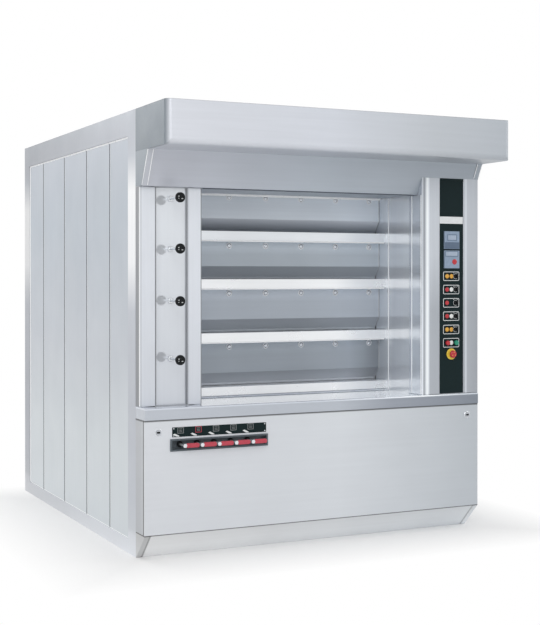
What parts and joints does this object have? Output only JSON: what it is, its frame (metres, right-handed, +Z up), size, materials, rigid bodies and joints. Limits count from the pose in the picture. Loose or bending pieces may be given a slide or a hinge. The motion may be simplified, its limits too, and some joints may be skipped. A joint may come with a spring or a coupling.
{
  "type": "stone deck oven",
  "caption": "Stainless deck oven with stacked stone-hearth chambers behind inward-swinging doors, a sloped hood, damper knobs, a control column and water valves.",
  "frame": {"origin": "on the floor, in the middle of the footprint, which reaches from the hood's front to the back posts", "axes": "+X across the front to the right, +Y into the oven, +Z up"},
  "size_m": [1.934, 2.54, 2.28],
  "materials": {
    "stainless": "satin stainless sheet",
    "polished": "bright polished stainless sheet",
    "boards": "smooth pale grey coated board",
    "control_black": "black control foil on sheet",
    "controller": "blue controller face",
    "knob_black": "black moulded grip",
    "rod_steel": "bright drawn rod",
    "lamp_amber": "amber lens",
    "lamp_red": "red lens",
    "lamp_white": "white lens",
    "button_red": "red button",
    "button_green": "green button",
    "ring_yellow": "yellow ring",
    "lever": "steel lever with red coated handle",
    "tray": "dark grey tray",
    "valve_brass": "plated brass valve bodies",
    "stone": "refractory hearth slab",
    "wool": "mineral wool",
    "duct": "plain steel sheet",
    "frame_steel": "grey painted steel"
  },
  "bodies": {
    "oven": {"amber_lamps": "lamp_amber", "baking_chambers": "duct", "base_frame": "frame_steel", "control_panel": "control_black", "controllers": "controller", "counter_top": "polished", "damper_bushes": "rod_steel", "damper_panel": "polished", "deck_sills": "stainless", "emergency_ring": "ring_yellow", "hearth_stones": "stone", "heat_channels": "duct", "hood_canopy": "stainless", "hood_slope": "stainless", "insulation": "wool", "left_column": "stainless", "mouth_jambs": "polished", "rear_panel": "stainless", "red_lamps": "lamp_red", "right_column": "stainless", "roof_panel": "stainless", "service_panel": "stainless", "side_boards": "boards", "side_frames": "stainless", "steam_valves": "valve_brass", "toe_kick": "stainless", "valve_tray": "tray", "vapour_duct": "duct", "white_lamps": "lamp_white"},
    "door_1": {"deck_door_1": "polished", "door_pivot_1": "rod_steel"},
    "door_2": {"deck_door_2": "polished", "door_pivot_2": "rod_steel"},
    "door_3": {"deck_door_3": "polished", "door_pivot_3": "rod_steel"},
    "door_4": {"deck_door_4": "polished", "door_pivot_4": "rod_steel"},
    "damper_1": {"damper_rod_1": "rod_steel", "damper_knob_1": "knob_black"},
    "damper_2": {"damper_rod_2": "rod_steel", "damper_knob_2": "knob_black"},
    "damper_3": {"damper_rod_3": "rod_steel", "damper_knob_3": "knob_black"},
    "damper_4": {"damper_rod_4": "rod_steel", "damper_knob_4": "knob_black"},
    "valve_1": {"valve_lever_1": "lever"},
    "valve_2": {"valve_lever_2": "lever"},
    "valve_3": {"valve_lever_3": "lever"},
    "valve_4": {"valve_lever_4": "lever"},
    "valve_5": {"valve_lever_5": "lever"},
    "selector_1": {"selector_knob_1": "knob_black"},
    "selector_2": {"selector_knob_2": "knob_black"},
    "selector_3": {"selector_knob_3": "knob_black"},
    "selector_4": {"selector_knob_4": "knob_black"},
    "selector_5": {"selector_knob_5": "knob_black"},
    "stop": {"stop_button": "button_red"},
    "start": {"start_button": "button_green"},
    "emergency": {"emergency_button": "button_red"},
    "lock_left": {"panel_lock_left": "rod_steel"},
    "lock_right": {"panel_lock_right": "rod_steel"}
  },
  "joints": [
    {"name": "door_1_swing", "type": "hinge", "parent": "oven", "child": "door_1", "pos_m": [0, -0.52, 1.803], "axis": [1, 0, 0], "range_deg": [0, 75]},
    {"name": "door_2_swing", "type": "hinge", "parent": "oven", "child": "door_2", "pos_m": [0, -0.52, 1.544], "axis": [1, 0, 0], "range_deg": [0, 75]},
    {"name": "door_3_swing", "type": "hinge", "parent": "oven", "child": "door_3", "pos_m": [0, -0.52, 1.289], "axis": [1, 0, 0], "range_deg": [0, 75]},
    {"name": "door_4_swing", "type": "hinge", "parent": "oven", "child": "door_4", "pos_m": [0, -0.52, 1.004], "axis": [1, 0, 0], "range_deg": [0, 75]},
    {"name": "damper_1_slide", "type": "slide", "parent": "oven", "child": "damper_1", "axis": [0, 1, 0], "range_m": [0, 0.1]},
    {"name": "damper_2_slide", "type": "slide", "parent": "oven", "child": "damper_2", "axis": [0, 1, 0], "range_m": [0, 0.1]},
    {"name": "damper_3_slide", "type": "slide", "parent": "oven", "child": "damper_3", "axis": [0, 1, 0], "range_m": [0, 0.1]},
    {"name": "damper_4_slide", "type": "slide", "parent": "oven", "child": "damper_4", "axis": [0, 1, 0], "range_m": [0, 0.1]},
    {"name": "valve_1_turn", "type": "hinge", "parent": "oven", "child": "valve_1", "pos_m": [-0.775, -1, 0.558], "axis": [0, 1, 0], "range_deg": [0, 90]},
    {"name": "valve_2_turn", "type": "hinge", "parent": "oven", "child": "valve_2", "pos_m": [-0.684, -1, 0.558], "axis": [0, 1, 0], "range_deg": [0, 90]},
    {"name": "valve_3_turn", "type": "hinge", "parent": "oven", "child": "valve_3", "pos_m": [-0.593, -1, 0.558], "axis": [0, 1, 0], "range_deg": [0, 90]},
    {"name": "valve_4_turn", "type": "hinge", "parent": "oven", "child": "valve_4", "pos_m": [-0.502, -1, 0.558], "axis": [0, 1, 0], "range_deg": [0, 90]},
    {"name": "valve_5_turn", "type": "hinge", "parent": "oven", "child": "valve_5", "pos_m": [-0.411, -1, 0.558], "axis": [0, 1, 0], "range_deg": [0, 90]},
    {"name": "selector_1_turn", "type": "hinge", "parent": "oven", "child": "selector_1", "pos_m": [0.823, -0.95, 1.38002], "axis": [0, 1, 0], "range_deg": [-45, 45]},
    {"name": "selector_2_turn", "type": "hinge", "parent": "oven", "child": "selector_2", "pos_m": [0.823, -0.95, 1.30782], "axis": [0, 1, 0], "range_deg": [-45, 45]},
    {"name": "selector_3_turn", "type": "hinge", "parent": "oven", "child": "selector_3", "pos_m": [0.823, -0.95, 1.23562], "axis": [0, 1, 0], "range_deg": [-45, 45]},
    {"name": "selector_4_turn", "type": "hinge", "parent": "oven", "child": "selector_4", "pos_m": [0.823, -0.95, 1.16342], "axis": [0, 1, 0], "range_deg": [-45, 45]},
    {"name": "selector_5_turn", "type": "hinge", "parent": "oven", "child": "selector_5", "pos_m": [0.823, -0.95, 1.09122], "axis": [0, 1, 0], "range_deg": [-45, 45]},
    {"name": "stop_press", "type": "slide", "parent": "oven", "child": "stop", "axis": [0, 1, 0], "range_m": [0, 0.004], "stiffness_N_per_m": 400},
    {"name": "start_press", "type": "slide", "parent": "oven", "child": "start", "axis": [0, 1, 0], "range_m": [0, 0.004], "stiffness_N_per_m": 400},
    {"name": "emergency_press", "type": "slide", "parent": "oven", "child": "emergency", "axis": [0, 1, 0], "range_m": [0, 0.006], "stiffness_N_per_m": 600},
    {"name": "lock_left_turn", "type": "hinge", "parent": "oven", "child": "lock_left", "pos_m": [-0.897, -0.976, 0.624], "axis": [0, 1, 0], "range_deg": [0, 90]},
    {"name": "lock_right_turn", "type": "hinge", "parent": "oven", "child": "lock_right", "pos_m": [0.897, -0.976, 0.624], "axis": [0, 1, 0], "range_deg": [0, 90]}
  ]
}
